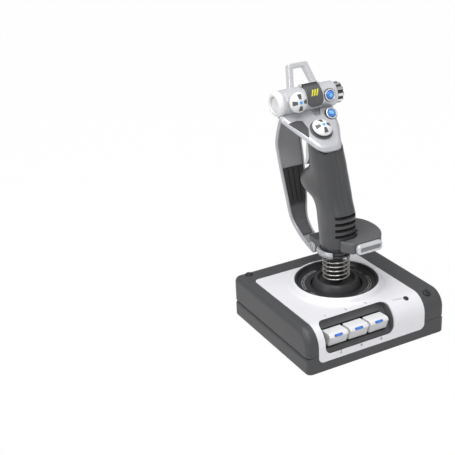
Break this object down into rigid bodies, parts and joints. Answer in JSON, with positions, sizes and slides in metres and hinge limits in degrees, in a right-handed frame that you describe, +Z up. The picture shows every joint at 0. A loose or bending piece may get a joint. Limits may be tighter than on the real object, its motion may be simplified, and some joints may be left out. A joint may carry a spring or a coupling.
{
  "type": "flight joystick",
  "caption": "Desk flight joystick: sprung tilting stick on a square base, twisting grip with hand guard, hand rest, thumb hats, buttons, covered launch button, dial, trigger and rockers.",
  "frame": {"origin": "middle of the base's flat underside, with the rubber feet 1 mm proud below it", "axes": "+X to the user's right, +Y away from the user, +Z up along the stick"},
  "size_m": [0.176, 0.1817, 0.2871],
  "materials": {
    "charcoal_plastic": "fine satin grain",
    "dark_plastic": "satin",
    "silver_plastic": "silver paint, satin",
    "plate_silver": "silver paint, satin",
    "grey_pad": "satin",
    "white_plastic": "satin gloss",
    "blue_lens": "clear blue, lit from inside",
    "red_plastic": "gloss",
    "steel": "bright",
    "foot_rubber": "matt",
    "circuit_board": "lacquered"
  },
  "bodies": {
    "base": {"base_lower_shell": "charcoal_plastic", "base_upper_shell": "charcoal_plastic", "top_plate": "plate_silver", "status_lens": "dark_plastic", "stick_dish": "dark_plastic", "foot_1": "foot_rubber", "foot_2": "foot_rubber", "foot_3": "foot_rubber", "foot_4": "foot_rubber", "corner_plug_front_right": "dark_plastic", "corner_plug_rear_left": "dark_plastic", "corner_plug_rear_right": "dark_plastic", "cable_socket": "dark_plastic", "circuit_board": "circuit_board", "gimbal_post": "grey_pad", "switch_bezel": "charcoal_plastic", "switch_axle": "steel"},
    "gimbal": {"gimbal_cross": "steel"},
    "stick": {"stick_shaft": "dark_plastic", "ball_cup": "dark_plastic", "return_spring": "steel"},
    "grip": {"grip_collar": "charcoal_plastic", "grip_left_half": "charcoal_plastic", "grip_right_half": "charcoal_plastic", "neck_plate": "silver_plastic", "neck_recess_panel": "dark_plastic", "hat_2_bezel": "dark_plastic", "head_barrel": "silver_plastic", "barrel_end_cap": "white_plastic", "top_loop": "silver_plastic", "hand_guard": "silver_plastic", "guard_screw": "dark_plastic", "guard_upper_pad": "grey_pad", "guard_lower_pad": "dark_plastic", "trigger_pin": "steel", "cover_pin": "steel"},
    "twist_lock": {"twist_lock": "silver_plastic"},
    "trigger": {"trigger": "silver_plastic"},
    "pinkie_lever": {"pinkie_lever": "silver_plastic"},
    "safety_cover": {"safety_cover": "dark_plastic"},
    "launch_button": {"launch_button": "red_plastic"},
    "button_a": {"button_a": "blue_lens"},
    "button_b": {"button_b": "blue_lens"},
    "button_c": {"button_c": "white_plastic"},
    "hat_1_ring": {"hat_1_gimbal_ring": "dark_plastic"},
    "hat_1_cap": {"hat_1_cap": "white_plastic"},
    "hat_2_ring": {"hat_2_gimbal_ring": "dark_plastic"},
    "hat_2_cap": {"hat_2_cap": "white_plastic"},
    "mode_dial": {"mode_dial": "dark_plastic"},
    "hand_rest": {"hand_rest": "charcoal_plastic", "hand_rest_cap": "silver_plastic"},
    "rocker_1": {"rocker_1": "white_plastic", "rocker_lamp_1": "blue_lens"},
    "rocker_2": {"rocker_2": "white_plastic", "rocker_lamp_2": "blue_lens"},
    "rocker_3": {"rocker_3": "white_plastic", "rocker_lamp_3": "blue_lens"}
  },
  "joints": [
    {"name": "stick_pitch", "type": "hinge", "parent": "base", "child": "gimbal", "pos_m": [0, 0, 0.041], "axis": [1, 0, 0], "range_deg": [-15, 15], "stiffness_Nm_per_rad": 5},
    {"name": "stick_roll", "type": "hinge", "parent": "gimbal", "child": "stick", "pos_m": [0, 0, 0.041], "axis": [0, 1, 0], "range_deg": [-15, 15], "stiffness_Nm_per_rad": 5},
    {"name": "grip_twist", "type": "hinge", "parent": "stick", "child": "grip", "pos_m": [0, 0, 0.087], "axis": [0, 0, 1], "range_deg": [-20, 20], "stiffness_Nm_per_rad": 0.5},
    {"name": "twist_lock_turn", "type": "hinge", "parent": "grip", "child": "twist_lock", "pos_m": [0, 0, 0.091], "axis": [0, 0, 1], "range_deg": [-10, 10]},
    {"name": "trigger_pull", "type": "hinge", "parent": "grip", "child": "trigger", "pos_m": [0, 0.037, 0.208], "axis": [-1, 0, 0], "range_deg": [0, 8], "stiffness_Nm_per_rad": 0.3},
    {"name": "pinkie_squeeze", "type": "hinge", "parent": "grip", "child": "pinkie_lever", "pos_m": [0, 0.0195, 0.135], "axis": [-1, 0, 0], "range_deg": [0, 8], "stiffness_Nm_per_rad": 0.3},
    {"name": "cover_flip", "type": "hinge", "parent": "grip", "child": "safety_cover", "pos_m": [0, 0.05141, 0.26612], "axis": [-1, 0, 0], "range_deg": [0, 110]},
    {"name": "launch_press", "type": "slide", "parent": "grip", "child": "launch_button", "axis": [0, 0.866, -0.5], "range_m": [0, 0.0008], "stiffness_N_per_m": 600},
    {"name": "button_a_press", "type": "slide", "parent": "grip", "child": "button_a", "axis": [0, 0.9744, -0.225], "range_m": [0, 0.0012], "stiffness_N_per_m": 500},
    {"name": "button_b_press", "type": "slide", "parent": "grip", "child": "button_b", "axis": [0, 0.7994, -0.6008], "range_m": [0, 0.0012], "stiffness_N_per_m": 500},
    {"name": "button_c_press", "type": "slide", "parent": "grip", "child": "button_c", "axis": [1, 0, 0], "range_m": [0, 0.0012], "stiffness_N_per_m": 500},
    {"name": "hat_1_up", "type": "hinge", "parent": "grip", "child": "hat_1_ring", "pos_m": [-0.0225, 0.04512, 0.25239], "axis": [1, 0, 0], "range_deg": [-7, 7], "stiffness_Nm_per_rad": 0.1},
    {"name": "hat_1_side", "type": "hinge", "parent": "hat_1_ring", "child": "hat_1_cap", "pos_m": [-0.0225, 0.04512, 0.25239], "axis": [0, 0.1736, 0.9848], "range_deg": [-7, 7], "stiffness_Nm_per_rad": 0.1},
    {"name": "hat_2_up", "type": "hinge", "parent": "grip", "child": "hat_2_ring", "pos_m": [-0.0045, 0.02402, 0.21966], "axis": [1, 0, 0], "range_deg": [-7, 7], "stiffness_Nm_per_rad": 0.1},
    {"name": "hat_2_side", "type": "hinge", "parent": "hat_2_ring", "child": "hat_2_cap", "pos_m": [-0.0045, 0.02402, 0.21966], "axis": [0, 0.8184, 0.5746], "range_deg": [-7, 7], "stiffness_Nm_per_rad": 0.1},
    {"name": "dial_turn", "type": "hinge", "parent": "grip", "child": "mode_dial", "pos_m": [0.03, 0.053, 0.251], "axis": [1, 0, 0], "range_deg": [-30, 30]},
    {"name": "hand_rest_lift", "type": "slide", "parent": "grip", "child": "hand_rest", "axis": [0, 0, 1], "range_m": [0, 0.02]},
    {"name": "rocker_1_tilt", "type": "hinge", "parent": "base", "child": "rocker_1", "pos_m": [-0.049, -0.0685, 0.032], "axis": [1, 0, 0], "range_deg": [-8, 8], "stiffness_Nm_per_rad": 0.1},
    {"name": "rocker_2_tilt", "type": "hinge", "parent": "base", "child": "rocker_2", "pos_m": [-0.0235, -0.0685, 0.032], "axis": [1, 0, 0], "range_deg": [-8, 8], "stiffness_Nm_per_rad": 0.1},
    {"name": "rocker_3_tilt", "type": "hinge", "parent": "base", "child": "rocker_3", "pos_m": [0.002, -0.0685, 0.032], "axis": [1, 0, 0], "range_deg": [-8, 8], "stiffness_Nm_per_rad": 0.1}
  ]
}
